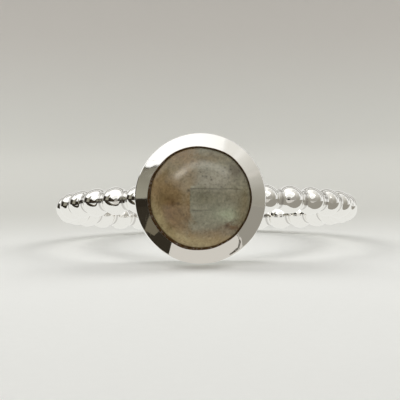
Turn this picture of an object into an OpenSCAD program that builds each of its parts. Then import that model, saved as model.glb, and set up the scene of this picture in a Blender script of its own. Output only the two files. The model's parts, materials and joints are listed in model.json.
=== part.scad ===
// A finger ring: a hoop of round silver beads with a round cup soldered across
// its ends, and a domed stone held in the cup under a sloping rim.
// The ring lies on its side, on the cup's edge and on the beads opposite,
// as it rests by itself. Millimetres, +Z up.

/* [Finger hole] */
// Diameter of the circle that touches the beads from inside
hole_d = 17.36; // [15:0.02:21]

/* [Beaded hoop] */
// Diameter of one bead
bead_d = 1.84; // [1.6:0.02:2.2]
// Distance between the middles of two neighbouring beads, before it is evened out
bead_spacing = 1.86; // [1.6:0.01:2.3]
// Diameter of the short neck that joins two beads
neck_d = 1.16; // [0.8:0.02:1.4]
// How far the first bead's middle lies outside the foot of the cup
first_bead_out = 0.24; // [0:0.02:0.6]

/* [Cup] */
// Diameter across the rim
rim_d = 8.2; // [8:0.1:10]
// Diameter of the foot, where the hoop is soldered on
foot_d = 7.6; // [7.4:0.1:9]
// Width of the bevel round the foot
foot_bevel = 0.16; // [0.1:0.02:0.3]
// Height of the rim's outer edge above the finger hole
rim_h = 3.3; // [3:0.1:4.5]
// Height of the foot above the finger hole
foot_h = 0.06; // [0.02:0.01:0.4]
// Thickness of the floor that the stone lies on
floor_t = 1.2; // [0.8:0.1:1.4]
// How much higher the mouth is than the rim's outer edge
face_rise = 0.52; // [0.3:0.02:0.7]
// Diameter of the mouth, in which the stone shows
mouth_d = 6.48; // [6:0.02:6.6]
// Radius that rounds the rim's outer edge
edge_r = 0.2; // [0.1:0.02:0.3]
// How far the cup sits off the middle of the hoop, towards its lower side
cup_drop = 0.18; // [0:0.02:0.4]

/* [Stone] */
// Diameter at the girdle
stone_d = 6.9; // [6.7:0.1:7]
// Height of the dome above the girdle
dome_h = 1.5; // [1.2:0.1:2.2]
// Clearance between the stone and the wall and lip round it
stone_gap = 0.05; // [0.03:0.01:0.1]

/* [Hidden] */
$fn = 96;

// Steps in which an arc of a revolved outline is drawn
ARC_STEPS = 8;
// Depth of the upright inner edge of the mouth
MOUTH_EDGE = 0.08;
// How far from a bead's middle a neck ends inside it, as a share of its radius
NECK_END = 0.38;
// How far a cutting shape reaches past the face that it opens
OVERCUT = 1;

bead_r = bead_d / 2;
hole_r = hole_d / 2;
hoop_r = hole_r + bead_r;
first_angle = asin((foot_d / 2 + first_bead_out) / hoop_r);
even_step = 2 * asin(bead_spacing / 2 / hoop_r);
bead_gaps = round((360 - 2 * first_angle) / even_step);
bead_step = (360 - 2 * first_angle) / bead_gaps;

// Heights along the stone's axis, from the middle of the hoop
foot_at = hole_r + foot_h;
seat_at = foot_at + floor_t;
rim_at = hole_r + rim_h;
mouth_at = rim_at + face_rise;

// The dome passes just under the lip at the mouth's edge
stone_r = stone_d / 2;
mouth_r = mouth_d / 2;
dome_r = (pow(stone_r, 2) + pow(dome_h, 2)) / (2 * dome_h);
under_lip_at = mouth_at - MOUTH_EDGE;
dome_centre_at = under_lip_at - sqrt(pow(dome_r + stone_gap, 2) - pow(mouth_r, 2));
girdle_at = dome_centre_at + dome_r - dome_h;

// Middle of the arc that rounds the rim's outer edge
rim_round_r = rim_d / 2 - edge_r;
rim_round_at = rim_at - edge_r;

// Tilt at which one plane touches the bead opposite the cup and an edge of the cup
function tilt_on(edge_at, edge_out, round_r) =
    atan2(edge_out + cup_drop, hoop_r + edge_at)
    - asin((bead_r - round_r) / norm([hoop_r + edge_at, edge_out + cup_drop]));

// Resting pose: the ring lies on whichever edge of the cup it meets first
rest_tilt = max(tilt_on(rim_round_at, rim_round_r, edge_r), tilt_on(foot_at + foot_bevel, foot_d / 2, 0));
rest_lift = hoop_r * sin(rest_tilt) + bead_r;
back_y = hoop_r * cos(rest_tilt) + bead_r;
front_y = -dome_centre_at * cos(rest_tilt) - cup_drop * sin(rest_tilt) - dome_r;

// Point on the circle of bead middles, at an angle from the stone's direction
function hoop_point(angle) = [hoop_r * sin(angle), -hoop_r * cos(angle), 0];

// Points of an arc round a centre
function arc(centre, r, from, to) = [
    for (i = [0 : ARC_STEPS])
        let (a = from + (to - from) * i / ARC_STEPS)
        centre + r * [cos(a), sin(a)]
];

// Lays a shape from the hoop's frame, hole upright, onto the surface it rests on
module at_rest() {
    translate([0, -(back_y + front_y) / 2, rest_lift])
        rotate([-rest_tilt, 0, 0])
            children();
}

// Turns a shape modelled upright along Z to point out of the hoop at the front
module out_of_hoop() {
    translate([0, 0, -cup_drop])
        rotate([90, 0, 0])
            children();
}

// A round neck between the middles of two beads, ending inside each of them
module neck(from, to) {
    run = to - from;
    end = NECK_END * bead_r;
    translate(from)
        rotate([0, 90, atan2(run[1], run[0])])
            translate([0, 0, end])
                cylinder(d = neck_d, h = norm(run) - 2 * end);
}

// The beads, each with its poles in line with its necks
module beads() {
    for (i = [0 : bead_gaps])
        translate(hoop_point(first_angle + i * bead_step))
            rotate([0, 90, first_angle + i * bead_step])
                sphere(d = bead_d);
}

module necks() {
    for (i = [0 : bead_gaps - 1])
        neck(hoop_point(first_angle + i * bead_step), hoop_point(first_angle + (i + 1) * bead_step));
}

// Half section of the cup with its rounded rim and its sloping face
module cup_outline() {
    face_angle = atan2(face_rise, rim_d / 2 - mouth_r);
    side_angle = atan2((rim_d - foot_d) / 2, rim_at - foot_at);
    polygon(concat(
        [[0, foot_at], [foot_d / 2 - foot_bevel, foot_at], [foot_d / 2, foot_at + foot_bevel]],
        arc([rim_round_r, rim_round_at], edge_r, -side_angle, 90 - face_angle),
        [[mouth_r, mouth_at], [0, mouth_at]]
    ));
}

// Half section of the hollow in which the stone sits, open at the mouth
module pocket_outline() {
    pocket_r = stone_r + stone_gap;
    polygon([
        [0, seat_at],
        [pocket_r, seat_at],
        [pocket_r, girdle_at + stone_gap],
        [mouth_r, under_lip_at],
        [mouth_r, mouth_at + OVERCUT],
        [0, mouth_at + OVERCUT]
    ]);
}

module cup() {
    difference() {
        rotate_extrude() cup_outline();
        rotate_extrude() pocket_outline();
    }
}

module beaded_mount() {
    color("silver")
        at_rest() {
            beads();
            necks();
            out_of_hoop() cup();
        }
}

module labradorite_stone() {
    color([0.42, 0.40, 0.34])
        at_rest()
            out_of_hoop()
                intersection() {
                    translate([0, 0, seat_at])
                        cylinder(r = stone_r, h = girdle_at + dome_h + OVERCUT - seat_at);
                    translate([0, 0, dome_centre_at])
                        sphere(r = dome_r);
                }
}

beaded_mount();
labradorite_stone();
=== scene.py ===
"""A silver finger ring: a hoop of round beads, and a domed labradorite in a round cup.

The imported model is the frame. Its nodes say where the ring lies, and the pieces made here
stand for them with finer shapes and finishes. Every length is in metres.
"""

import json
import math

import bmesh
import bpy
import numpy as np
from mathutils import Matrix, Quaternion, Vector, noise


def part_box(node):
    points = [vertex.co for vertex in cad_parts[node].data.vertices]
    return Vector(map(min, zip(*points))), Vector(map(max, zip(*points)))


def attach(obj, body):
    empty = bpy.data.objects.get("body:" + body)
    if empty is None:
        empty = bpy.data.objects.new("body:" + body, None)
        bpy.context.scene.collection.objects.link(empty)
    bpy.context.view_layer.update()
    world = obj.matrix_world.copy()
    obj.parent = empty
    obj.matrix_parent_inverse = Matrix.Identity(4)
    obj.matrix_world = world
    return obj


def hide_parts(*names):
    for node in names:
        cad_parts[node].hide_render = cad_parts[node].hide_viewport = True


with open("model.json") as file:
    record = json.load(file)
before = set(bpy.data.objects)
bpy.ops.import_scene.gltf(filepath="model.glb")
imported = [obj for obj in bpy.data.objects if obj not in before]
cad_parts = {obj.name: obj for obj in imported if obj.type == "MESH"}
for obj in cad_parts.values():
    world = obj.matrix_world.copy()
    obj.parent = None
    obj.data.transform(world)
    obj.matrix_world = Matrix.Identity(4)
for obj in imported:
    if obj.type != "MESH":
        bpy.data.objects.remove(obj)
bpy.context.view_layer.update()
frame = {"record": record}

bl_info = {
    "name": "Labradorite ring",
    "version": (1, 0, 0),
    "blender": (4, 5, 0),
    "location": "3D View > Sidebar > Ring",
    "description": "Makes a beaded silver ring with a domed labradorite in a round cup",
    "category": "Add Mesh",
}

MM = 0.001
BODY = "root"

# Where the ring lies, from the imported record
FINGER_HOLE = next(m for m in frame["record"]["mounts"] if m["name"] == "finger_hole")
HOOP_MIDDLE = Vector(FINGER_HOLE["pos_m"])
HOOP_LEAN = math.atan2(FINGER_HOLE["axis"][1], FINGER_HOLE["axis"][2])
BEAD_R = FINGER_HOLE["dims"]["length_mm"] * MM / 2
HOLE_R = FINGER_HOLE["dims"]["r_mm"] * MM
HOOP_R = HOLE_R + BEAD_R
STONE_LOW, STONE_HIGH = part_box("labradorite_stone")
STONE_R = (STONE_HIGH.x - STONE_LOW.x) / 2


def srgb(red, green, blue):
    """A colour as linear light, from the three numbers of a colour picker."""
    linear = [((c / 255 + 0.055) / 1.055) ** 2.4 for c in (red, green, blue)]
    return (*linear, 1.0)


def length(label, text, millimetres):
    return bpy.props.FloatProperty(
        name=label, description=text, default=millimetres * MM, subtype="DISTANCE", precision=5
    )


def angle(label, text, degrees):
    return bpy.props.FloatProperty(
        name=label, description=text, default=math.radians(degrees), subtype="ANGLE"
    )


def number(label, text, value):
    return bpy.props.FloatProperty(name=label, description=text, default=value, min=0.0)


def count(label, text, value):
    return bpy.props.IntProperty(name=label, description=text, default=value, min=1)


def colour(label, text, value):
    return bpy.props.FloatVectorProperty(
        name=label, description=text, default=value, size=4, min=0.0, max=1.0, subtype="COLOR"
    )


class HoopSettings(bpy.types.PropertyGroup):
    bead_radius: length("Bead radius", "Radius of one bead", BEAD_R / MM)
    hoop_radius: length("Hoop radius", "Radius of the circle of bead middles", HOOP_R / MM)
    neck_radius: length("Neck radius", "Radius of the neck between two beads", 0.64)
    neck_fillet: length("Neck fillet", "How softly a neck runs into its beads", 0.13)
    first_out: length("First bead", "From the cup's axis to the first bead's middle", 4.04)
    gaps: count("Gaps", "Number of gaps between beads", 28)
    steps: count("Steps", "Rings of faces along one bead", 32)
    sides: count("Sides", "Faces round a bead", 48)
    bead_variation: number("Bead variation", "Share by which beads differ in size", 0.006)
    wave: length("Wave", "Height of the polisher's waves on the beads", 0.018)
    seed: count("Seed", "Seed of the beads' differences", 4)


class CupSettings(bpy.types.PropertyGroup):
    rim_radius: length("Rim radius", "Radius across the rim", 4.1)
    foot_radius: length("Foot radius", "Radius of the foot", 3.8)
    foot_bevel: length("Foot bevel", "Width of the bevel round the foot", 0.16)
    rim_height: length("Rim height", "Height of the rim above the finger hole", 3.3)
    foot_height: length("Foot height", "Height of the foot above the finger hole", 0.06)
    floor: length("Floor", "Thickness of the floor under the stone", 1.2)
    face_rise: length("Face rise", "How much higher the mouth is than the rim", 0.52)
    face_crown: length("Face crown", "How far the sloping face bulges", 0.005)
    mouth_radius: length("Mouth radius", "Radius of the mouth in which the stone shows", 3.24)
    mouth_edge: length("Mouth edge", "Depth of the mouth's upright edge", 0.08)
    lip_least: length("Least lip", "Least width of the bevel inside the mouth", 0.06)
    lip_most: length("Most lip", "Greatest width of the bevel inside the mouth", 0.18)
    lip_cover: length("Lip cover", "How far the lip reaches in at the lower left", 0.09)
    lip_ripple: length("Lip ripple", "How far the mouth's edge wanders", 0.05)
    lip_pull: length("Lip pull", "How far the lip reaches in over the stone at the top", 0.12)
    edge_radius: length("Edge radius", "Radius that rounds the rim's outer edge", 0.2)
    drop: length("Drop", "How far the cup sits below the middle of the hoop", 0.18)
    wave: length("Wave", "Height of the waves left by setting and polishing", 0.012)
    sides: count("Sides", "Faces round the cup", 224)
    solder: length("Solder", "How softly the hoop runs into the cup", 0.34)


class StoneSettings(bpy.types.PropertyGroup):
    girdle_radius: length("Girdle radius", "Radius of the stone at its girdle", STONE_R / MM)
    dome_height: length("Dome height", "Height of the dome above the girdle", 1.5)
    gap: length("Gap", "Clearance between the stone and the cup", 0.05)
    sides: count("Sides", "Faces round the stone", 192)
    brown: colour("Brown", "The stone's brown side", srgb(131, 109, 76))
    grey: colour("Grey", "The stone's grey side", srgb(132, 129, 110))
    tan: colour("Tan", "The stone's lower edge", srgb(164, 140, 98))
    # The flash's colour is painted sheen
    flash: colour("Flash", "The flash of colour", srgb(162, 168, 142))
    lightness: number("Lightness", "How much lighter the body is than its colours", 1.22)
    mark: colour("Marks", "Specks and cleavage lines", srgb(58, 48, 32))
    # The edge's colour is painted light, shining through the stone's edge at the lower left
    edge: colour("Edge", "The lighter edge at the lower left", srgb(168, 154, 116))
    # The rim's colour is painted shade under the lip, with the lip's painted reflection
    rim: colour("Rim", "The stone's edge under the lip", srgb(92, 62, 34))


class SilverSettings(bpy.types.PropertyGroup):
    clean: colour("Clean", "Polished silver", (0.94, 0.93, 0.91, 1.0))
    tarnish_and_shade: colour("Tarnish", "Silver in the crevices", srgb(74, 54, 31))
    roughness: number("Roughness", "Roughness of the polish", 0.045)


class StudioSettings(bpy.types.PropertyGroup):
    camera_distance: length("Distance", "From the hoop's middle to the camera", 107.0)
    camera_azimuth: angle("Azimuth", "How far the camera stands to the right", 2.0)
    camera_elevation: angle("Elevation", "How far the camera looks down", 5.1)
    aim_right: length("Aim right", "How far right of the hoop's middle it looks", -0.48)
    aim_up: length("Aim up", "How far above the hoop's middle it looks", 0.64)
    camera_roll: angle("Roll", "How far the camera is turned about its own axis", -0.65)
    lens: number("Lens", "Focal length in millimetres on a 36 mm wide sensor", 137.4)
    floor: colour("Floor", "The pale floor", srgb(242, 243, 241))
    light: number("Light", "Power of the soft light in watts", 0.52)


class Value:
    """One output socket, whose arithmetic adds Math nodes to its tree."""

    def __init__(self, graph, socket):
        self.graph = graph
        self.socket = socket

    def math(self, operation, *others):
        return self.graph.math(operation, self, *others)

    def __add__(self, other):
        return self.math("ADD", other)

    __radd__ = __add__

    def __sub__(self, other):
        return self.math("SUBTRACT", other)

    def __rsub__(self, other):
        return self.graph.math("SUBTRACT", other, self)

    def __mul__(self, other):
        return self.math("MULTIPLY", other)

    __rmul__ = __mul__

    def __truediv__(self, other):
        return self.math("DIVIDE", other)

    def __pow__(self, other):
        return self.math("POWER", other)

    def __neg__(self):
        return self.math("MULTIPLY", -1.0)

    def rise(self, low, high):
        """0 below low, 1 above high, and a smooth step between."""
        settings = {"interpolation_type": "SMOOTHSTEP"}
        values = {"Value": self, "From Min": low, "From Max": high}
        return self.graph.add("ShaderNodeMapRange", settings, values)


class Graph:
    """Adds nodes to one node tree."""

    def __init__(self, tree):
        self.tree = tree
        tree.nodes.clear()

    def add(self, kind, settings=None, values=None, output=0):
        """A node of this kind, with its settings made before its sockets are filled."""
        node = self.tree.nodes.new(kind)
        for name, setting in (settings or {}).items():
            setattr(node, name, setting)
        for name, value in (values or {}).items():
            self.fill(self.socket(node.inputs, name), value)
        if not node.outputs:
            return None
        return Value(self, self.socket(node.outputs, output))

    def socket(self, sockets, name):
        """The socket in use with this name, or the one at this place among those in use."""
        used = [s for s in sockets if s.enabled]
        if isinstance(name, int):
            return used[name]
        return next(s for s in used if s.name == name)

    def fill(self, socket, value):
        if isinstance(value, Value):
            self.tree.links.new(value.socket, socket)
        else:
            socket.default_value = value

    def math(self, operation, *values):
        return self.add("ShaderNodeMath", {"operation": operation}, dict(enumerate(values)))

    def vector_math(self, operation, *values):
        return self.add("ShaderNodeVectorMath", {"operation": operation}, dict(enumerate(values)))

    def bump(self, strength, depth, height):
        values = {"Strength": strength, "Distance": depth, "Height": height}
        return self.add("ShaderNodeBump", None, values)

    def mix(self, factor, first, second, blend="MIX"):
        """Two colours mixed by a factor."""
        settings = {"data_type": "RGBA", "blend_type": blend}
        return self.add("ShaderNodeMix", settings, {"Factor": factor, "A": first, "B": second})

    def noise(self, place, scale, detail=2.0, distortion=0.0):
        values = {"Vector": place, "Scale": scale, "Detail": detail, "Distortion": distortion}
        return self.add("ShaderNodeTexNoise", None, values, "Fac")

    def parts(self, vector):
        """The three numbers of a vector."""
        split = self.add("ShaderNodeSeparateXYZ", None, {"Vector": vector}).socket.node
        return [Value(self, output) for output in split.outputs]

    def attribute(self, name):
        return self.add("ShaderNodeAttribute", {"attribute_name": name}, None, "Fac")

    def place(self, middle=(0, 0, 0), turn=(0, 0, 0), unit=(MM, MM, MM)):
        """Object coordinates from a middle, turned upright and in a unit."""
        where = self.add("ShaderNodeTexCoord", None, None, "Object")
        values = {"Vector": where, "Location": middle, "Rotation": turn, "Scale": unit}
        return self.add("ShaderNodeMapping", {"vector_type": "TEXTURE"}, values)


def new_material(name):
    material = bpy.data.materials.new(name)
    material.use_nodes = True
    return material, Graph(material.node_tree)


def surface(graph, **values):
    """Ends a material in one Principled shader."""
    sockets = {name.replace("_", " "): value for name, value in values.items()}
    shader = graph.add("ShaderNodeBsdfPrincipled", None, sockets)
    graph.add("ShaderNodeOutputMaterial", None, {"Surface": shader})


SILVER = "ring_silver"
SCRATCH_TURNS = (0.3, 1.25, 2.2)
SCRATCH_SCALE = 9.0
SCRATCH_STRETCH = 26.0
# How much rougher smears, scratches and the crevices' tarnish with painted shade leave the silver
SMEAR_ROUGHNESS = 0.035
SCRATCH_ROUGHNESS = 0.05
TARNISH_AND_SHADE_ROUGHNESS = 0.5


def polished_silver():
    """Mirror-polished silver with hairline scratches, faint smears, and tarnish with painted shade
    in its crevices.
    """
    if SILVER in bpy.data.materials:
        return bpy.data.materials[SILVER]
    settings = bpy.context.scene.ring_silver
    material, graph = new_material(SILVER)
    place = graph.place()
    scratches = 0.0
    for turn in SCRATCH_TURNS:
        unit = (MM * SCRATCH_STRETCH, MM, MM * SCRATCH_STRETCH / 2)
        along = graph.place(turn=(turn, turn * 2, turn * 3), unit=unit)
        scratches = graph.noise(along, SCRATCH_SCALE, 1.0).rise(0.66, 0.74) + scratches
    smears = graph.noise(place, 0.45, 3.0).rise(0.45, 0.8)
    grain = graph.noise(place, 7.0, 3.0)
    crevice = graph.attribute("crevice")
    # The crevice mask darkens the silver: tarnish, and painted shade in the lip and between the
    # beads
    dark = (crevice * (0.7 + 0.6 * grain)).math("MINIMUM", 1.0)
    tone = graph.mix(dark, settings.clean, settings.tarnish_and_shade)
    roughness = settings.roughness + SMEAR_ROUGHNESS * smears + SCRATCH_ROUGHNESS * scratches
    roughness = roughness + TARNISH_AND_SHADE_ROUGHNESS * dark
    bump = graph.bump(0.25, 0.003 * MM, grain + 0.7 * scratches)
    surface(graph, Base_Color=tone, Metallic=1.0, Roughness=roughness, Normal=bump)
    return material


# The stone's patches of colour and its marks, in millimetres right of its middle and above it
BROWN_PATCHES = (
    # right, up, width, height, colour, strength
    (-2.3, -0.1, 0.6, 0.65, srgb(110, 92, 60), 0.8),
    (-1.9, -0.8, 0.6, 0.75, srgb(112, 84, 50), 0.8),
    (-1.2, -1.3, 0.6, 0.7, srgb(116, 94, 62), 0.7),
    (-2.6, -1.35, 0.36, 0.8, srgb(150, 134, 96), 0.6),
    (-1.6, -2.3, 0.85, 0.45, srgb(152, 134, 98), 0.9),
    (-1.75, 1.9, 0.9, 0.7, srgb(126, 114, 84), 0.85),
    (-0.9, 1.2, 0.5, 0.5, srgb(116, 104, 78), 0.8),
    (-0.85, 0.5, 0.32, 0.9, srgb(154, 138, 108), 0.8),
)
GREY_PATCHES = (
    (0.7, 1.15, 1.4, 0.6, srgb(156, 150, 133), 0.9),
    (0.4, 0.15, 0.9, 0.4, srgb(116, 112, 92), 0.8),
    (2.1, 0.1, 0.6, 0.5, srgb(130, 122, 100), 0.6),
    (2.75, 0.0, 0.35, 1.0, srgb(112, 102, 76), 0.9),
    (2.55, -1.2, 0.45, 0.8, srgb(114, 99, 70), 0.9),
    (0.9, -0.95, 0.6, 0.45, srgb(128, 130, 110), 0.5),
    (0.9, -2.15, 1.3, 0.3, srgb(134, 108, 78), 0.6),
    (1.85, -1.75, 0.7, 0.22, srgb(104, 76, 50), 0.9),
    (2.25, 1.8, 0.55, 0.6, srgb(94, 86, 70), 0.9),
    (0.2, 2.6, 1.6, 0.35, srgb(110, 96, 66), 0.9),
)
# How far right and up the pattern shows on the dome, against the places in the tables
PATTERN_SHIFT = (0.07, -0.17)
SPECKS = (
    # right, up, radius, strength
    (-0.72, 0.50, 0.09, 0.80),
    (0.15, 1.38, 0.06, 0.60),
    (0.38, 1.35, 0.07, 0.60),
    (0.69, 1.15, 0.07, 0.75),
    (1.28, 0.73, 0.06, 0.50),
    (1.85, 1.83, 0.07, 0.70),
    (1.51, 1.94, 0.06, 0.45),
    (1.96, 1.55, 0.06, 0.50),
    (-0.60, 1.47, 0.08, 0.45),
    (-0.98, 1.03, 0.06, 0.45),
    (-1.37, -0.30, 0.09, 0.55),
    (-1.03, -0.98, 0.06, 0.50),
    (-2.05, -0.55, 0.07, 0.40),
    (-1.85, -1.75, 0.07, 0.45),
    (0.62, 1.32, 0.05, 0.60),
    (0.02, 1.62, 0.05, 0.45),
    (1.05, 1.62, 0.05, 0.40),
    (1.40, 1.70, 0.05, 0.50),
    (1.72, 1.28, 0.06, 0.45),
    (2.10, 1.10, 0.05, 0.40),
    (0.30, 0.86, 0.05, 0.35),
    (-1.62, 0.75, 0.06, 0.35),
    (-1.20, -0.75, 0.05, 0.40),
    (-0.55, -1.85, 0.06, 0.40),
    (0.45, -2.30, 0.06, 0.35),
    (0.20, -1.55, 0.05, 0.35),
)
CLEAVAGE_HALF_WIDTH = 0.045
CLEAVAGES = (
    # up, from, to, strength
    (0.59, -0.62, 2.50, 0.42),
    (-0.73, -0.50, 0.58, 0.34),
    (0.36, 0.20, 1.30, 0.12),
    (0.86, 0.60, 1.90, 0.10),
)


FLASH_MIDDLE = (1.75, -1.0)
FLASH_SIZE = (0.62, 0.42)
# Where brown meets grey, how much farther right above the upper cleavage line, and the height
# round which the seam is sharp
SEAM_RIGHT = -0.64
SEAM_STEP = 0.3
SEAM_MIDDLE = -0.15
GRAIN_STRENGTH = 0.6
# Distances from the stone's axis at which its painted edge light and its rim of painted shade begin
# and end
LIT_EDGE = (2.35, 2.8)
SHADED_RIM = (3.08, 3.18)


def blob(graph, right, up, middle, size):
    """A soft round patch, 1 in its middle."""
    across = ((right - middle[0]) / size[0]) ** 2
    above = ((up - middle[1]) / size[1]) ** 2
    return graph.math("EXPONENT", -(across + above))


def patched(graph, right, up, base, patches):
    """A colour with soft patches of other colours on it."""
    for across, above, width, height, shade, strength in patches:
        patch = blob(graph, right, up, (across, above), (width, height))
        base = graph.mix(patch * strength, base, shade)
    return base


def stone_colours(graph, right, up, cloud, mottle):
    """The stone's brown and grey sides with their patches, and where it flashes."""
    settings = bpy.context.scene.ring_stone
    shaken_right = right + (cloud - 0.5) * 0.7
    shaken_up = up + (mottle - 0.5) * 0.7
    left = patched(graph, shaken_right, shaken_up, settings.brown, BROWN_PATCHES)
    grey = patched(graph, shaken_right, shaken_up, settings.grey, GREY_PATCHES)
    # The flash is painted sheen: the stone's play of colour, set into the base colour and the same
    # from every side
    flash = blob(graph, shaken_right, shaken_up, FLASH_MIDDLE, FLASH_SIZE)
    flash = flash * mottle.rise(0.1, 0.65)
    grey = graph.mix(flash, grey, settings.flash)

    # Brown meets grey at an upright seam, sharp in the middle and ragged above and below
    ragged = (up - SEAM_MIDDLE).math("ABSOLUTE").rise(0.5, 1.6)
    seam = right + (mottle - 0.5) * (0.15 + 1.6 * ragged)
    soft = 0.06 + 0.5 * ragged
    past_seam = seam - SEAM_RIGHT - SEAM_STEP * up.rise(0.5, 0.9)
    body = graph.mix((past_seam / soft).rise(-1.0, 1.0), left, grey)
    low = (-shaken_up).rise(2.05, 2.6)
    return graph.mix(low * 0.8, body, settings.tan), flash


def stone_marks(graph, place, right, up, mottle, grain):
    """How strongly fine dots, specks and cleavage lines darken the stone."""
    dots = graph.add("ShaderNodeTexVoronoi", None, {"Vector": place, "Scale": 2.1}, "Distance")
    marks = dots.rise(0.13, 0.05) * 0.25 * mottle + (1 - grain.rise(0.28, 0.38)) * 0.2
    for across, above, radius, strength in SPECKS:
        marks = marks + blob(graph, right, up, (across, above), (radius, radius)) * strength
    for above, start, end, strength in CLEAVAGES:
        shake = (graph.noise(place, 3.0) - 0.5) * 0.08
        line = graph.math("EXPONENT", -(((up - above + shake) / CLEAVAGE_HALF_WIDTH) ** 2))
        inside = right.rise(start - 0.1, start + 0.1) * right.rise(end + 0.2, end - 0.2)
        marks = marks + line * inside * strength
    return marks


def labradorite():
    """A polished brown and grey stone with mottling, specks, cleavage lines and a faint flash."""
    settings = bpy.context.scene.ring_stone
    material, graph = new_material("ring_labradorite")
    middle = in_cup_frame(np.zeros((1, 3)), bpy.context.scene.ring_cup.drop)[0]
    place = graph.place(middle=middle, turn=(-HOOP_LEAN, 0, 0))
    right, _, up = graph.parts(place)
    from_axis = (right**2 + up**2).math("SQRT")
    right, up = right - PATTERN_SHIFT[0], up - PATTERN_SHIFT[1]
    cloud = graph.noise(place, 0.6, 3.0, distortion=0.5)
    mottle = graph.noise(place, 1.6, 4.0, distortion=0.6)
    grain = graph.noise(place, 7.0, 4.0)

    body, flash = stone_colours(graph, right, up, cloud, mottle)
    # Painted light: the lighter edge at the lower left, where light shines through the stone
    edge = (from_axis + (mottle - 0.5) * 0.6).rise(*LIT_EDGE)
    edge = edge * (-right * 0.8 - up * 1.1).rise(1.6, 3.4)
    body = graph.mix(edge * 0.6, body, settings.edge)
    blotch = graph.noise(place, 3.4, 3.0, distortion=1.2)
    light_grain = (grain - 0.5) * 0.75 + (mottle - 0.5) * 0.8 + (blotch - 0.5) * 0.9 + 0.5
    light_grain = light_grain.math("MINIMUM", 1.0).math("MAXIMUM", 0.0)
    mid_grey = graph.mix(light_grain, (0.0, 0.0, 0.0, 1.0), (1.0, 1.0, 1.0, 1.0))
    body = graph.mix(GRAIN_STRENGTH, body, mid_grey, "SOFT_LIGHT")
    body = graph.vector_math("SCALE", body, settings.lightness)
    marks = stone_marks(graph, place, right, up, mottle, grain)
    body = graph.mix(marks.math("MINIMUM", 0.92), body, settings.mark)
    # Painted shade and the lip's painted reflection darken the stone's rim under the lip, over the
    # setting's dark seam
    rim = (from_axis + (cloud - 0.5) * 0.1).rise(*SHADED_RIM)
    body = graph.mix(rim * 0.92, body, settings.rim)

    bump = graph.bump(0.15, 0.004 * MM, grain)
    surface(
        graph,
        Base_Color=body,
        Metallic=flash * 0.2,
        Roughness=0.15 + 0.05 * grain + 0.1 * marks,
        IOR=1.56,
        Normal=bump,
    )
    return material


def glow(graph, shade, strength):
    """Ends a material in plain light of this colour."""
    light = graph.add("ShaderNodeEmission", None, {"Color": shade, "Strength": strength})
    graph.add("ShaderNodeOutputMaterial", None, {"Surface": light})


# Where painted shade darkens the floor going back and the wall going up, in millimetres
FLOOR_SHADE = (-14, 30)
WALL_SHADE = (0, 24)


def pale_floor():
    """Matt pale card with a faint grain, a little darker to the back and up the wall by painted
    shade.
    """
    settings = bpy.context.scene.ring_studio
    material, graph = new_material("pale_floor")
    place = graph.place()
    cloud = graph.noise(place, 0.02, 3.0)
    fibre = graph.noise(place, 1.6, 4.0)
    shade = graph.mix(cloud * 0.08 + fibre * 0.05, settings.floor, srgb(190, 188, 184))
    _, depth, height = graph.parts(place)
    # Painted shade: darker to the back and up the wall, where less light falls
    shade = graph.mix(depth.rise(*FLOOR_SHADE), shade, srgb(204, 204, 199))
    shade = graph.mix(height.rise(*WALL_SHADE), shade, srgb(200, 197, 192))
    bump = graph.bump(0.2, 0.05 * MM, fibre)
    surface(graph, Base_Color=shade, Roughness=0.9, Specular_IOR_Level=0.0, Normal=bump)
    return material


def in_cup_frame(points, drop):
    """Points right of, above and out along the cup's axis, put where the ring lies.

    The third number is measured from the hoop's middle, out towards the stone.
    """
    right, up, out = np.asarray(points, float).T
    lean_cos, lean_sin = math.cos(HOOP_LEAN), math.sin(HOOP_LEAN)
    height = up - drop
    x = right + HOOP_MIDDLE.x
    y = -out * lean_cos + height * lean_sin + HOOP_MIDDLE.y
    z = out * lean_sin + height * lean_cos + HOOP_MIDDLE.z
    return np.stack([x, y, z], -1)


def finish_piece(name, mesh, material, node):
    """Links a finished mesh as a piece of the ring that stands for a CAD node."""
    piece = bpy.data.objects.new(name, mesh)
    bpy.context.scene.collection.objects.link(piece)
    mesh.materials.clear()
    mesh.materials.append(material)
    mesh.polygons.foreach_set("use_smooth", [True] * len(mesh.polygons))
    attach(piece, BODY)
    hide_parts(node)


def arc(middle, radius, start, end, steps):
    """Points of an arc round a middle, with its angles in radians."""
    turns = [start + (end - start) * i / steps for i in range(steps + 1)]
    return [(middle[0] + radius * math.cos(t), middle[1] + radius * math.sin(t)) for t in turns]


def rounded(before, corner, after, radius, steps=6):
    """Points that round the corner between two neighbours."""
    corner = Vector(corner)
    first = (Vector(before) - corner).normalized()
    second = (Vector(after) - corner).normalized()
    half = first.angle(second) / 2
    reach = radius / math.tan(half)
    middle = corner + (first + second).normalized() * (radius / math.sin(half))
    start = corner + first * reach - middle
    end = corner + second * reach - middle
    spokes = [start.slerp(end, i / steps) for i in range(1, steps)]
    return [tuple(middle + spoke.normalized() * radius) for spoke in (start, *spokes, end)]


def filled_in(points, longest):
    """The same outline with no stretch longer than this."""
    result = [points[0]]
    for start, end in zip(points, points[1:]):
        pieces = max(1, math.ceil(math.dist(start, end) / longest - 1e-6))
        for i in range(1, pieces + 1):
            share = i / pieces
            result.append(tuple(a + (b - a) * share for a, b in zip(start, end)))
    return result


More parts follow.
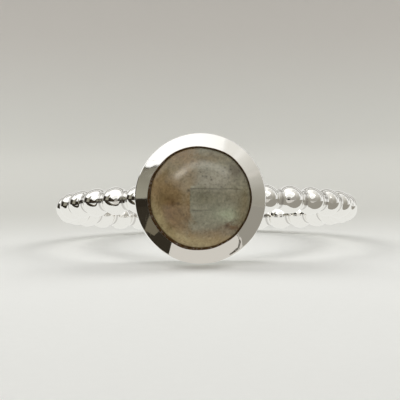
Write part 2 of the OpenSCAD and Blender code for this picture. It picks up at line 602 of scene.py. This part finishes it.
def revolve(name, outline_at, sides, drop, crevice=None):
    """A closed mesh from an outline of (radius, height) that starts and ends on the axis.

    outline_at gives the outline at an angle, always with the same number of points.
    crevice gives a number for each ring of points, kept as the attribute crevice.
    """
    outlines = [outline_at(2 * math.pi * k / sides) for k in range(sides)]
    rings = len(outlines[0]) - 2
    points = [(0.0, 0.0, outlines[0][0][1])]
    numbers = [0.0]
    for ring in range(1, rings + 1):
        for k, outline in enumerate(outlines):
            turn = 2 * math.pi * k / sides
            radius, height = outline[ring]
            points.append((radius * math.cos(turn), radius * math.sin(turn), height))
            numbers.append(crevice(ring) if crevice else 0.0)
    points.append((0.0, 0.0, outlines[0][-1][1]))
    numbers.append(0.0)
    last = len(points) - 1
    faces = []
    for k in range(sides):
        after = (k + 1) % sides
        faces.append((0, 1 + after, 1 + k))
        for ring in range(rings - 1):
            here, there = 1 + ring * sides, 1 + (ring + 1) * sides
            faces.append((here + k, here + after, there + after, there + k))
        top = 1 + (rings - 1) * sides
        faces.append((top + k, top + after, last))
    mesh = bpy.data.meshes.new(name)
    mesh.from_pydata(in_cup_frame(points, drop).tolist(), [], faces)
    attribute = mesh.attributes.new("crevice", "FLOAT", "POINT")
    attribute.data.foreach_set("value", np.array(numbers, np.float32))
    mesh.update()
    return mesh


def outward(mesh):
    """Turns every face of a closed mesh outwards."""
    work = bmesh.new()
    work.from_mesh(mesh)
    bmesh.ops.recalc_face_normals(work, faces=work.faces)
    work.to_mesh(mesh)
    work.free()
    return mesh


def cup_heights(scene):
    """Heights along the cup's axis, from the hoop's middle, and the dome's radius."""
    cup, stone = scene.ring_cup, scene.ring_stone
    foot = HOLE_R + cup.foot_height
    rim = HOLE_R + cup.rim_height
    mouth = rim + cup.face_rise
    dome_r = (stone.girdle_radius**2 + stone.dome_height**2) / (2 * stone.dome_height)
    under_lip = mouth - cup.mouth_edge
    dome_middle = under_lip - math.sqrt((dome_r + stone.gap) ** 2 - cup.mouth_radius**2)
    return {
        "foot": foot,
        "seat": foot + cup.floor,
        "rim": rim,
        "mouth": mouth,
        "dome_r": dome_r,
        "dome_middle": dome_middle,
        "girdle": dome_middle + dome_r - stone.dome_height,
    }


RIM_STEPS = 12


def cup_corners(scene, mouth, lip):
    """The rim's rounding, the end of the sloping face and the radius of the pocket."""
    cup, stone, at = scene.ring_cup, scene.ring_stone, cup_heights(scene)
    face_angle = math.atan2(cup.face_rise, cup.rim_radius - cup.mouth_radius)
    side_angle = math.atan2(cup.rim_radius - cup.foot_radius, at["rim"] - at["foot"])
    round_middle = (cup.rim_radius - cup.edge_radius, at["rim"] - cup.edge_radius)
    round_end = math.pi / 2 - face_angle
    rim_arc = arc(round_middle, cup.edge_radius, -side_angle, round_end, RIM_STEPS)
    pocket = stone.girdle_radius + stone.gap
    inwards = cup.mouth_radius - mouth - lip
    face_end = (mouth + lip, at["mouth"] + inwards * math.tan(face_angle))
    return rim_arc, face_end, pocket


FACE_SHARES = (0.03, 0.08, 0.2, 0.35, 0.5, 0.65, 0.8, 0.92, 0.97)
LONGEST_STRETCH = 0.16 * MM
LIP_ROUND = 0.025 * MM
FOOT_ROUND = 0.06 * MM
# Directions in which the lip is widest and reaches in farthest, anticlockwise from the right
LIP_WIDEST_AT = math.radians(204)
LIP_PULLED_AT = math.radians(65)
# How quickly the lip narrows away from where it is widest, and by what share it is uneven
LIP_FOCUS = 2.5
LIP_UNEVEN = 0.16
# Seed and scale of the noise by which the lip's width and the mouth's radius wander
LIP_NOISE = (3.7, 2.2)
MOUTH_NOISE = (1.9, 2.6)
# How far the lip's two lower corners lie under the gap's far side, as shares of the gap
LIP_CORNERS = (0.1, 0.5)
# Points of the outline from the start of the lip's rounding to the seat
LIP_POINTS = 12
WAVE_LENGTHS = (1.3 * MM, 0.45 * MM)
WAVE_SHIFT = Vector((11.3, 5.1, 7.7))
# Height of the short waves as a share of the long ones
RIPPLE_SHARE = 0.12


def facing(turn, middle):
    """1 in this direction round the cup, 0 opposite it, and smooth between."""
    return 0.5 + 0.5 * math.cos(turn - middle)


def wander(turn, seed, scale):
    """A smooth number near 0 that changes with the direction round the cup."""
    return noise.noise(Vector((math.cos(turn), math.sin(turn), seed)) * scale)


def lip_width(cup, turn):
    """Width of the bevel inside the mouth: widest at the lower left, uneven all round."""
    share = facing(turn, LIP_WIDEST_AT) ** LIP_FOCUS + LIP_UNEVEN * wander(turn, *LIP_NOISE)
    return cup.lip_least + (cup.lip_most - cup.lip_least) * min(1.0, max(0.0, share))


def cup_outline(scene, turn):
    """Half section of the cup at an angle, from the foot round the rim and lip to the seat."""
    cup, gap, at = scene.ring_cup, scene.ring_stone.gap, cup_heights(scene)
    mouth = cup.mouth_radius - cup.lip_ripple * (0.5 + wander(turn, *MOUTH_NOISE))
    mouth -= cup.lip_pull * facing(turn, LIP_PULLED_AT)
    mouth -= cup.lip_cover * facing(turn, LIP_WIDEST_AT) ** 2
    over_stone = at["dome_middle"] + math.sqrt((at["dome_r"] + gap) ** 2 - mouth**2)
    rim_arc, face_end, pocket = cup_corners(scene, mouth, lip_width(cup, turn))
    foot, seat = at["foot"], at["seat"]
    foot_in = (cup.foot_radius - cup.foot_bevel, foot)
    foot_out = (cup.foot_radius, foot + cup.foot_bevel)
    inner, under = ((mouth, over_stone - share * gap) for share in LIP_CORNERS)
    outer = [(0.0, foot)]
    outer += rounded((0.0, foot), foot_in, foot_out, FOOT_ROUND)
    outer += rounded(foot_in, foot_out, rim_arc[0], FOOT_ROUND)
    outer = filled_in(outer + [rim_arc[0]], LONGEST_STRETCH) + rim_arc[1:]
    start = rim_arc[-1]
    lip = rounded(start, face_end, inner, LIP_ROUND)
    face = []
    for share in FACE_SHARES:
        bulge = cup.face_crown * math.sin(math.pi * share)
        radius, height = (a + (b - a) * share for a, b in zip(start, lip[0]))
        face.append((radius + bulge / 2, height + bulge))
    inside = [inner, under, (pocket, at["girdle"] + gap), (pocket, seat), (0.0, seat)]
    return outer + face + lip + inside


def waved(mesh, height):
    """Moves a mesh's points a little along their normals, in waves of two lengths."""
    normals = [Vector(n.vector) for n in mesh.vertex_normals]
    for vertex, normal in zip(mesh.vertices, normals):
        wave = noise.noise(vertex.co / WAVE_LENGTHS[0] + WAVE_SHIFT)
        ripple = noise.noise(vertex.co / WAVE_LENGTHS[1] + WAVE_SHIFT)
        vertex.co += normal * (wave + RIPPLE_SHARE * ripple) * height / 2
    mesh.update()


def make_bezel_cup(scene):
    """The cup: a closed back, a slightly flared wall and a sloping face with a burnished lip."""
    cup = scene.ring_cup
    lip_start = len(cup_outline(scene, 0.0)) - LIP_POINTS

    # The lip and the pocket inside it get tarnish with painted shade
    def crevice(ring):
        return 1.0 if ring >= lip_start else 0.0

    mesh = revolve("bezel_cup", lambda turn: cup_outline(scene, turn), cup.sides, cup.drop, crevice)
    outward(mesh)
    waved(mesh, cup.wave)
    finish_piece("bezel_cup", mesh, polished_silver(), "beaded_mount")


STONE_BEVEL = 0.12 * MM
GIRDLE_ROUND = 0.05 * MM
DOME_STEPS = 56


def make_cabochon(scene):
    """The stone: a flat base, an upright edge and a low dome."""
    stone, cup, at = scene.ring_stone, scene.ring_cup, cup_heights(scene)
    seat, girdle, middle = at["seat"], at["girdle"], at["dome_middle"]
    radius = stone.girdle_radius
    start = math.atan2(girdle - middle, radius)
    dome = arc((0.0, middle), at["dome_r"], start, math.pi / 2, DOME_STEPS)
    outline = [(0.0, seat), (radius - STONE_BEVEL, seat), (radius, seat + STONE_BEVEL)]
    # The girdle's rounding takes the place of the dome's first points
    dome = dome[2:-1]
    outline += rounded(outline[-1], (radius, girdle), dome[0], GIRDLE_ROUND)
    outline += dome + [(0.0, middle + at["dome_r"])]
    mesh = revolve("labradorite_cabochon", lambda _: outline, stone.sides, cup.drop)
    outward(mesh)
    finish_piece("labradorite_cabochon", mesh, labradorite(), "labradorite_stone")


def distance_to_outline(radius, height, outline):
    """Signed distance from points to a closed outline, below zero inside."""
    nearest = np.full(radius.shape, np.inf)
    inside = np.zeros(radius.shape, bool)
    for (r0, h0), (r1, h1) in zip(outline, outline[1:] + outline[:1]):
        along_r, along_h = r1 - r0, h1 - h0
        square = along_r**2 + along_h**2
        if square == 0:
            continue
        share = np.clip(((radius - r0) * along_r + (height - h0) * along_h) / square, 0, 1)
        gap = np.hypot(radius - r0 - share * along_r, height - h0 - share * along_h)
        nearest = np.minimum(nearest, gap)
        if along_h != 0:
            crosses = (h0 > height) != (h1 > height)
            inside ^= crosses & (radius < r0 + (height - h0) / along_h * along_r)
    return np.where(inside, -nearest, nearest)


# How far the joints lie under the skins of bead and cup, how far from a bead's middle they
# reach, the steps in which their skin is looked for on the way, and how finely it is divided
JOINT_SUNK = 0.004 * MM
JOINT_REACH = 1.55 * MM
JOINT_STEPS = 90
JOINT_FINENESS = 6


def joint_skin(middle, spokes, outline, bead_radius, solder):
    """Where spokes from a bead's middle leave the bead and the cup, blended together."""
    rungs = np.linspace(bead_radius / 2, JOINT_REACH, JOINT_STEPS)
    path = middle + spokes[:, None, :] * rungs[None, :, None]
    to_bead = np.broadcast_to(rungs - bead_radius, path.shape[:2])
    radius = np.hypot(path[..., 0], path[..., 1])
    to_cup = distance_to_outline(radius, path[..., 2], outline)
    blend = np.clip(0.5 + 0.5 * (to_bead - to_cup) / solder, 0, 1)
    joined = to_bead * (1 - blend) + to_cup * blend - solder * blend * (1 - blend)
    joined += JOINT_SUNK
    # A spoke that stays inside ends at its last rung
    outside = joined > 0
    outside[:, -1] = True
    first = outside.argmax(1)
    rows = np.arange(len(spokes))
    before = joined[rows, first - 1]
    after = np.where(joined[rows, first] > 0, joined[rows, first], 1e-9)
    share = np.clip(-before / (after - before), 0, 1)
    far = rungs[first - 1] + share * (rungs[first] - rungs[first - 1])
    return middle + spokes * far[:, None]


def make_solder_joints(scene):
    """The two joints where the hoop's end beads run softly into the cup.

    Each is the skin of the bead and the cup blended together, a hair under their own skins,
    so that it shows only in the crease between them.
    """
    cup, hoop = scene.ring_cup, scene.ring_hoop
    outline = cup_outline(scene, 0.0)
    ball = bmesh.new()
    bmesh.ops.create_icosphere(ball, subdivisions=JOINT_FINENESS, radius=1.0)
    spokes = np.array([v.co for v in ball.verts])
    corners = [[v.index for v in f.verts] for f in ball.faces]
    ball.free()
    out = math.sqrt(hoop.hoop_radius**2 - hoop.first_out**2)
    points, faces = [], []
    for side in (-1, 1):
        middle = np.array([side * hoop.first_out, cup.drop, out])
        faces += [[len(points) * len(spokes) + i for i in face] for face in corners]
        points.append(joint_skin(middle, spokes, outline, hoop.bead_radius, cup.solder))
    mesh = bpy.data.meshes.new("solder_joints")
    mesh.from_pydata(in_cup_frame(np.concatenate(points), cup.drop).tolist(), [], faces)
    mesh.attributes.new("crevice", "FLOAT", "POINT")
    outward(mesh)
    finish_piece("solder_joints", mesh, polished_silver(), "beaded_mount")


NECK_TURN = math.radians(65)
# Where the tarnish with painted shade beside a neck begins and is full, as shares of a bead's
# radius, and how dark
CREVICE = (0.84, 1.0)
CREVICE_DEPTH = 0.35
HOOP_INPUTS = (
    # name, socket type
    ("Hoop Radius", "NodeSocketFloat"),
    ("Bead Radius", "NodeSocketFloat"),
    ("Neck Radius", "NodeSocketFloat"),
    ("Neck Fillet", "NodeSocketFloat"),
    ("First Angle", "NodeSocketFloat"),
    ("Gaps", "NodeSocketInt"),
    ("Steps", "NodeSocketInt"),
    ("Sides", "NodeSocketInt"),
    ("Variation", "NodeSocketFloat"),
    ("Wave", "NodeSocketFloat"),
    ("Seed", "NodeSocketInt"),
    ("Middle", "NodeSocketVector"),
    ("Lean", "NodeSocketVector"),
    ("Material", "NodeSocketMaterial"),
)


def hoop_line(graph, given):
    """The last point's number, and the place, radius, and tarnish with painted shade at each point
    of the line.
    """
    hoop_r, bead_r, gaps, steps = (
        given[name] for name in ("Hoop Radius", "Bead Radius", "Gaps", "Steps")
    )
    # Which bead a point belongs to, and how far along that bead it is
    index = graph.add("GeometryNodeInputIndex")
    last = (gaps + 1) * steps
    bead = (index / steps).math("FLOOR").math("MINIMUM", gaps)
    side = (index / steps - bead) * 2 - 1
    from_end = index.math("MINIMUM", last - index) / steps
    outer_half = from_end.math("LESS_THAN", 0.5)
    turn = side * (NECK_TURN + outer_half * (math.pi / 2 - NECK_TURN))
    bead_angle = (2 * math.pi - 2 * given["First Angle"]) / gaps
    inner_reach = bead_angle * hoop_r / 2 / math.sin(NECK_TURN)
    reach = inner_reach + outer_half * (bead_r - inner_reach)
    along = reach * turn.math("SINE")
    where = given["First Angle"] + bead * bead_angle + along / hoop_r

    # The outline: a ball, blended into the neck except at the hoop's two ends
    values = {"Min": -1.0, "Max": 1.0, "ID": bead, "Seed": given["Seed"]}
    own = graph.add("FunctionNodeRandomValue", {"data_type": "FLOAT"}, values)
    ball = (bead_r**2 - along**2).math("MAXIMUM", 0.0).math("SQRT")
    ball = ball * (1 + own * given["Variation"])
    inner_half = 1 - outer_half
    neck = given["Neck Radius"] * inner_half
    radius = ball.math("SMOOTH_MAX", neck, given["Neck Fillet"] * inner_half)
    # Tarnish with painted shade beside each neck
    tarnish_and_shade = (along.math("ABSOLUTE") / bead_r).rise(*CREVICE) * inner_half * CREVICE_DEPTH
    values = {"X": hoop_r * where.math("SINE"), "Y": -hoop_r * where.math("COSINE")}
    place = graph.add("ShaderNodeCombineXYZ", None, values)
    return last, place, radius, tarnish_and_shade


def beaded_hoop_tree():
    """Geometry Nodes that sweep a row of beads and necks round the hoop."""
    tree = bpy.data.node_groups.new("Beaded hoop", "GeometryNodeTree")
    for name, kind in HOOP_INPUTS:
        tree.interface.new_socket(name, in_out="INPUT", socket_type=kind)
    tree.interface.new_socket("Geometry", in_out="OUTPUT", socket_type="NodeSocketGeometry")
    graph = Graph(tree)
    group = tree.nodes.new("NodeGroupInput")
    given = {name: Value(graph, group.outputs[name]) for name, _ in HOOP_INPUTS}

    # A circle swept along the line of beads
    last, place, radius, tarnish_and_shade = hoop_line(graph, given)
    line = graph.add("GeometryNodeMeshLine", None, {"Count": last + 1})
    line = graph.add("GeometryNodeMeshToCurve", None, {"Mesh": line})
    line = graph.add("GeometryNodeSetPosition", None, {"Geometry": line, "Position": place})
    values = {"Geometry": line, "Name": "crevice", "Value": tarnish_and_shade}
    line = graph.add("GeometryNodeStoreNamedAttribute", {"data_type": "FLOAT"}, values)
    values = {"Resolution": given["Sides"], "Radius": 1.0}
    profile = graph.add("GeometryNodeCurvePrimitiveCircle", None, values)
    values = {"Curve": line, "Profile Curve": profile, "Scale": radius}
    mesh = graph.add("GeometryNodeCurveToMesh", None, values)
    values = {"Geometry": mesh, "Distance": 0.0005 * MM}
    mesh = graph.add("GeometryNodeMergeByDistance", None, values)

    # The polisher's waves
    normal = graph.add("GeometryNodeInputNormal")
    position = graph.add("GeometryNodeInputPosition")
    height = (graph.noise(position, 1 / WAVE_LENGTHS[0], 1.0) - 0.5) * given["Wave"]
    offset = graph.vector_math("SCALE", normal, height)
    mesh = graph.add("GeometryNodeSetPosition", None, {"Geometry": mesh, "Offset": offset})

    values = {"Geometry": mesh, "Translation": given["Middle"], "Rotation": given["Lean"]}
    mesh = graph.add("GeometryNodeTransform", None, values)
    mesh = graph.add("GeometryNodeRealizeInstances", None, {"Geometry": mesh})
    values = {"Geometry": mesh, "Material": given["Material"]}
    mesh = graph.add("GeometryNodeSetMaterial", None, values)
    graph.add("NodeGroupOutput", None, {"Geometry": mesh})
    return tree


def mesh_from_tree(tree, values):
    """The plain mesh that a tree makes from these inputs."""
    maker = bpy.data.objects.new("maker", bpy.data.meshes.new("maker"))
    bpy.context.scene.collection.objects.link(maker)
    modifier = maker.modifiers.new("Shape", "NODES")
    modifier.node_group = tree
    for item in tree.interface.items_tree:
        if item.in_out == "INPUT":
            modifier[item.identifier] = values[item.name]
    depsgraph = bpy.context.evaluated_depsgraph_get()
    mesh = bpy.data.meshes.new_from_object(maker.evaluated_get(depsgraph))
    bpy.data.objects.remove(maker)
    return mesh


def make_beaded_hoop(scene):
    """The hoop: a row of beads joined by short necks, from one side of the cup to the other."""
    hoop = scene.ring_hoop
    silver = polished_silver()
    values = {
        "Hoop Radius": hoop.hoop_radius,
        "Bead Radius": hoop.bead_radius,
        "Neck Radius": hoop.neck_radius,
        "Neck Fillet": hoop.neck_fillet,
        "First Angle": math.asin(hoop.first_out / hoop.hoop_radius),
        "Gaps": hoop.gaps,
        "Steps": hoop.steps,
        "Sides": hoop.sides,
        "Variation": hoop.bead_variation,
        "Wave": hoop.wave,
        "Seed": hoop.seed,
        "Middle": HOOP_MIDDLE,
        "Lean": (-HOOP_LEAN, 0.0, 0.0),
        "Material": silver,
    }
    mesh = outward(mesh_from_tree(beaded_hoop_tree(), values))
    mesh.name = "beaded_hoop"
    finish_piece("beaded_hoop", mesh, silver, "beaded_mount")


def stage_mesh(name, points, faces, material, seen=True):
    """A stage piece. One that isn't seen shows only in what mirrors it."""
    mesh = bpy.data.meshes.new(name)
    mesh.from_pydata(points, [], faces)
    mesh.materials.append(material)
    mesh.polygons.foreach_set("use_smooth", [True] * len(mesh.polygons))
    piece = bpy.data.objects.new(name, mesh)
    bpy.context.scene.collection.objects.link(piece)
    if not seen:
        piece.visible_camera = False
        piece.visible_diffuse = False
        piece.visible_shadow = False
        piece.visible_transmission = False


def grid_faces(rows, columns):
    """Faces between the points of a grid that is listed row by row."""
    faces = []
    for row in range(rows - 1):
        for column in range(columns - 1):
            corner = row * columns + column
            faces.append((corner, corner + 1, corner + columns + 1, corner + columns))
    return faces


def towards(azimuth, elevation):
    """A direction, with angles in radians: azimuth 0 is straight ahead of the stone."""
    ahead = math.cos(elevation)
    return Vector((math.sin(azimuth) * ahead, -math.cos(azimuth) * ahead, math.sin(elevation)))


def view_axes(settings):
    """Towards the camera, to its right and up in its picture."""
    back = towards(settings.camera_azimuth, settings.camera_elevation)
    right = towards(settings.camera_azimuth + math.pi / 2, 0)
    return back, right, back.cross(right)


# What the silver mirrors, painted on a dome in this order. Angles are in degrees: the clock
# runs round the stone from the top, and off is the angle off the camera's axis.
DOME_PATCHES = (
    # clock from, to, off from, to, softness by clock and off, first and last colour, strength
    (-181, 181, -9, 62, 1, 8, srgb(176, 172, 163), srgb(160, 156, 148), 1.0),
    (56, 150, 40, 92, 3, 3, srgb(170, 166, 157), srgb(158, 154, 145), 1.0),
    (-180, -8, 17, 60, 12, 8, srgb(66, 60, 48), srgb(54, 48, 39), 1.0),
    (-180, -64, 50, 128, 2, 3, srgb(40, 36, 29), srgb(44, 39, 31), 1.0),
    (21, 94, 60, 92, 4, 3, srgb(236, 234, 227), srgb(155, 151, 139), 1.0),
    (94, 150, 60, 92, 4, 3, srgb(155, 151, 139), srgb(146, 142, 128), 1.0),
    (-85, -57, 70, 97, 1.0, 2, srgb(152, 149, 134), srgb(132, 128, 114), 1.0),
    (33, 40, 62, 92, 5, 8, srgb(241, 239, 233), srgb(236, 234, 227), 1.0),
    (58, 63, 68, 100, 5, 8, srgb(208, 205, 197), srgb(204, 200, 191), 1.0),
    (-59.5, -57, 76, 97, 0.8, 2, srgb(84, 80, 70), srgb(84, 80, 70), 1.0),
    (-61, 58, 23, 56, 3, 5, srgb(252, 252, 247), srgb(252, 252, 247), 1.0),
    (-56, 12, 51, 122, 1.0, 4, srgb(255, 255, 252), srgb(255, 255, 252), 1.15),
    (0, 21, 51, 122, 7, 4, srgb(255, 255, 252), srgb(250, 249, 244), 1.12),
    (-27, 46, 54, 65, 14, 7, srgb(255, 252, 244), srgb(240, 238, 230), 3.6),
    (-181, 181, -9, 8, 1, 3, srgb(46, 42, 35), srgb(46, 42, 35), 1.0),
    (-35, 75, 110, 120, 12, 5, srgb(172, 169, 161), srgb(146, 143, 135), 1.0),
    (-100, 100, 131, 143, 8, 5, srgb(150, 147, 139), srgb(158, 155, 147), 1.0),
    (-47, -25, 52, 61, 9, 4, srgb(255, 250, 238), srgb(255, 250, 238), 7.0),
)
DOME_R = 0.13
DOME_RINGS = 48
# How far out from the finger hole the clock's middle lies, in the stone
CLOCK_OUT = 3.4 * MM
DEGREES = 180 / math.pi
# The edge of the white at ten o'clock slants: degrees of clock for each degree off, the angle
# off at which it doesn't, how far to both sides of that, and the stretch of clock
SLANT = 2.2
SLANT_OFF = 84
SLANT_REACH = 5.0
SLANT_CLOCK = (-66, -36)
# By how many degrees of clock the patches' edges waver
WAVER = 6.0


def across_angle(graph, value, start, end, softness):
    """1 between two angles in degrees and 0 outside, soft at both edges and right past 180."""
    half = (end - start) / 2
    from_middle = graph.math("WRAP", value - (start + end) / 2, 180.0, -180.0).math("ABSOLUTE")
    return from_middle.rise(half + softness / 2, half - softness / 2)


def painted_dome():
    """Patches of soft light and shade, placed by clock and angle off the camera's axis."""
    material, graph = new_material("painted_dome")
    middle = in_cup_frame([(0, 0, HOLE_R + CLOCK_OUT)], 0)[0]
    place = graph.add("ShaderNodeTexCoord", None, None, "Object")
    spoke = graph.vector_math("NORMALIZE", graph.vector_math("SUBTRACT", place, middle))
    axes = view_axes(bpy.context.scene.ring_studio)
    ahead, across, above = (graph.vector_math("DOT_PRODUCT", spoke, axis) for axis in axes)
    off = ahead.math("ARCCOSINE") * DEGREES
    clock = across.math("ARCTAN2", above) * DEGREES
    streaks = graph.noise(spoke, 3.2, 4.0, distortion=0.8)
    ripple = graph.noise(spoke, 8.0, 2.0) - 0.5
    slant = (off - SLANT_OFF).math("MAXIMUM", -SLANT_REACH).math("MINIMUM", SLANT_REACH)
    slant = slant * off.rise(66, 74) * across_angle(graph, clock, *SLANT_CLOCK, 6)
    clock = clock + slant * SLANT + ripple * WAVER
    shade = graph.mix(streaks.rise(0.4, 0.62), srgb(246, 246, 243), srgb(214, 213, 208))
    glare = 1.0
    for start, end, near, far, soft_clock, soft_off, first, last, strength in DOME_PATCHES:
        mask = across_angle(graph, clock, start, end, soft_clock)
        mask = mask * across_angle(graph, off, near, far, soft_off)
        paint = graph.mix(clock.rise(start, end), first, last)
        shade = graph.mix(mask, shade, paint)
        glare = glare + mask * (strength - glare)
    glow(graph, shade, glare * (1.06 - 0.12 * streaks))
    return material


def make_dome():
    """A dome over the ring that shows only in what mirrors it."""
    points = []
    for i in range(DOME_RINGS + 1):
        for j in range(2 * DOME_RINGS + 1):
            spoke = towards(math.pi * j / DOME_RINGS, math.pi / 2 * i / DOME_RINGS)
            points.append(spoke * DOME_R)
    faces = grid_faces(DOME_RINGS + 1, 2 * DOME_RINGS + 1)
    stage_mesh("dome", points, faces, painted_dome(), seen=False)


# How much higher each card lies than the one before it
CARD_LIFT = 0.004 * MM
# Cards that the silver mirrors low down, laid in this order: corners in millimetres and a colour
FLOOR_CARDS = {
    "white_card": (((-150, -150), (150, -150), (150, 150), (-150, 150)), srgb(236, 236, 231)),
    "light_card": (
        ((-3.4, -10.4), (-40, -60), (60, -80), (5, -9.8), (0, -10.2)),
        srgb(209, 205, 197),
    ),
    "dark_card": (
        (
            (-2.4, -10.95), (-8, -11.5), (-14, -9.6), (-150, 26), (-150, -76), (-17, -18.6),
            (-8, -15), (-3.8, -14),
        ),
        srgb(50, 45, 36),
    ),
    "grey_patch": (
        ((-6.0, -12.3), (-9.0, -12.4), (-40, -26), (-40, -33), (-6.6, -13.6)),
        srgb(110, 103, 86),
    ),
    "grey_card": (
        (
            (3.4, -11.2), (4.6, -12.4), (5.0, -14), (8.5, -16), (60, -66), (150, -60), (60, 30),
            (8.3, -6.7),
        ),
        srgb(151, 147, 137),
    ),
    "dark_line": (
        (
            (4.72, -13.9), (4.45, -12.7), (4.0, -12.12), (3.3, -11.65), (2.2, -11.3),
            (2.26, -11.2), (3.37, -11.55), (4.12, -12.05), (4.54, -12.65), (4.8, -13.9),
        ),
        srgb(88, 83, 74),
    ),
}


def make_floor_cards():
    """Flat cards on the floor that show only in what mirrors them."""
    for step, (name, (corners, shade)) in enumerate(FLOOR_CARDS.items()):
        points = [(x * MM, y * MM, CARD_LIFT * (step + 1)) for x, y in corners]
        material, graph = new_material(name)
        glow(graph, shade, 1.0)
        stage_mesh(name, points, [tuple(range(len(points)))], material, seen=False)


FLOOR_FLAT = 0.14
FLOOR_CURVE = 0.2
FLOOR_TOP = 0.45
FLOOR_SIDES = 96


def make_floor():
    """A round pale floor that curves up into a wall all round."""
    outline = [(0.0, 0.0), (FLOOR_FLAT, 0.0)]
    outline += arc((FLOOR_FLAT, FLOOR_CURVE), FLOOR_CURVE, -math.pi / 2, 0.0, 24)[1:]
    outline.append((FLOOR_FLAT + FLOOR_CURVE, FLOOR_TOP))
    points = []
    for radius, height in outline:
        for k in range(FLOOR_SIDES + 1):
            turn = 2 * math.pi * k / FLOOR_SIDES
            points.append((radius * math.cos(turn), radius * math.sin(turn), height))
    faces = grid_faces(len(outline), FLOOR_SIDES + 1)
    stage_mesh("floor", points, faces, pale_floor())


# The lamps: place in metres, width in metres and share of the light
LAMPS = {
    "back_left": ((-0.17, 0.09, 0.15), 0.14, 0.5),
    "back_right": ((0.17, 0.09, 0.15), 0.14, 0.5),
}


WORLD_SHADE = srgb(236, 236, 234)
WORLD_STRENGTH = 0.92


def make_lights(settings):
    """Two soft lamps behind the ring and an even pale world."""
    for name, (place, size, share) in LAMPS.items():
        data = bpy.data.lights.new(name, "AREA")
        data.size = size
        data.energy = settings.light * share
        light = bpy.data.objects.new(name, data)
        light.location = place
        light.rotation_euler = (-light.location).to_track_quat("-Z", "Y").to_euler()
        light.visible_glossy = False
        bpy.context.scene.collection.objects.link(light)
    world = bpy.data.worlds.new("studio")
    world.use_nodes = True
    graph = Graph(world.node_tree)
    values = {"Color": WORLD_SHADE, "Strength": WORLD_STRENGTH}
    shade = graph.add("ShaderNodeBackground", None, values)
    graph.add("ShaderNodeOutputWorld", None, {"Surface": shade})
    bpy.context.scene.world = world


SENSOR_WIDTH = 36.0
NEAREST = 1 * MM
FARTHEST = 10.0


def make_camera(settings):
    """The camera, turned so that the ring shows where the photograph has it."""
    back, right, up = view_axes(settings)
    aim = HOOP_MIDDLE + right * settings.aim_right + up * settings.aim_up
    data = bpy.data.cameras.new("camera")
    data.lens = settings.lens
    data.sensor_width = SENSOR_WIDTH
    data.clip_start = NEAREST
    data.clip_end = FARTHEST
    camera = bpy.data.objects.new("camera", data)
    camera.location = HOOP_MIDDLE + back * settings.camera_distance
    turn = (aim - camera.location).to_track_quat("-Z", "Y")
    roll = Quaternion((0, 0, 1), settings.camera_roll)
    camera.rotation_euler = (turn @ roll).to_euler()
    bpy.context.scene.collection.objects.link(camera)
    bpy.context.scene.camera = camera


class RING_OT_beaded_hoop(bpy.types.Operator):
    """Make the hoop of silver beads"""

    bl_idname = "ring.beaded_hoop"
    bl_label = "Beaded hoop"

    def execute(self, context):
        make_beaded_hoop(context.scene)
        return {"FINISHED"}


class RING_OT_bezel_cup(bpy.types.Operator):
    """Make the silver cup that holds the stone"""

    bl_idname = "ring.bezel_cup"
    bl_label = "Cup"

    def execute(self, context):
        make_bezel_cup(context.scene)
        return {"FINISHED"}


class RING_OT_solder_joints(bpy.types.Operator):
    """Make the soldered joints between the hoop and the cup"""

    bl_idname = "ring.solder_joints"
    bl_label = "Solder joints"

    def execute(self, context):
        make_solder_joints(context.scene)
        return {"FINISHED"}


class RING_OT_cabochon(bpy.types.Operator):
    """Make the domed stone"""

    bl_idname = "ring.cabochon"
    bl_label = "Stone"

    def execute(self, context):
        make_cabochon(context.scene)
        return {"FINISHED"}


class RING_OT_studio(bpy.types.Operator):
    """Make the floor, what the silver mirrors, the lights and the camera"""

    bl_idname = "ring.studio"
    bl_label = "Studio"

    def execute(self, context):
        context.scene.view_settings.view_transform = "Standard"
        make_floor()
        make_dome()
        make_floor_cards()
        make_lights(context.scene.ring_studio)
        make_camera(context.scene.ring_studio)
        return {"FINISHED"}


# The settings by their names on the scene
SETTINGS = {
    "ring_hoop": HoopSettings,
    "ring_cup": CupSettings,
    "ring_stone": StoneSettings,
    "ring_silver": SilverSettings,
    "ring_studio": StudioSettings,
}
OPERATORS = (
    RING_OT_studio,
    RING_OT_beaded_hoop,
    RING_OT_bezel_cup,
    RING_OT_solder_joints,
    RING_OT_cabochon,
)


class RING_PT_panel(bpy.types.Panel):
    """Lists the operators and their settings"""

    bl_idname = "RING_PT_panel"
    bl_label = "Labradorite ring"
    bl_space_type = "VIEW_3D"
    bl_region_type = "UI"
    bl_category = "Ring"

    def draw(self, context):
        for operator in OPERATORS:
            self.layout.operator(operator.bl_idname)
        for name, settings in SETTINGS.items():
            box = self.layout.box()
            for key in settings.__annotations__:
                box.prop(getattr(context.scene, name), key)


def register():
    for name, settings in SETTINGS.items():
        bpy.utils.register_class(settings)
        setattr(bpy.types.Scene, name, bpy.props.PointerProperty(type=settings))
    for kind in (*OPERATORS, RING_PT_panel):
        bpy.utils.register_class(kind)


def unregister():
    for kind in (RING_PT_panel, *OPERATORS):
        bpy.utils.unregister_class(kind)
    for name, settings in SETTINGS.items():
        delattr(bpy.types.Scene, name)
        bpy.utils.unregister_class(settings)


def main():
    register()
    bpy.ops.ring.studio()
    bpy.ops.ring.beaded_hoop()
    bpy.ops.ring.bezel_cup()
    bpy.ops.ring.solder_joints()
    bpy.ops.ring.cabochon()


if __name__ == "__main__":
    main()
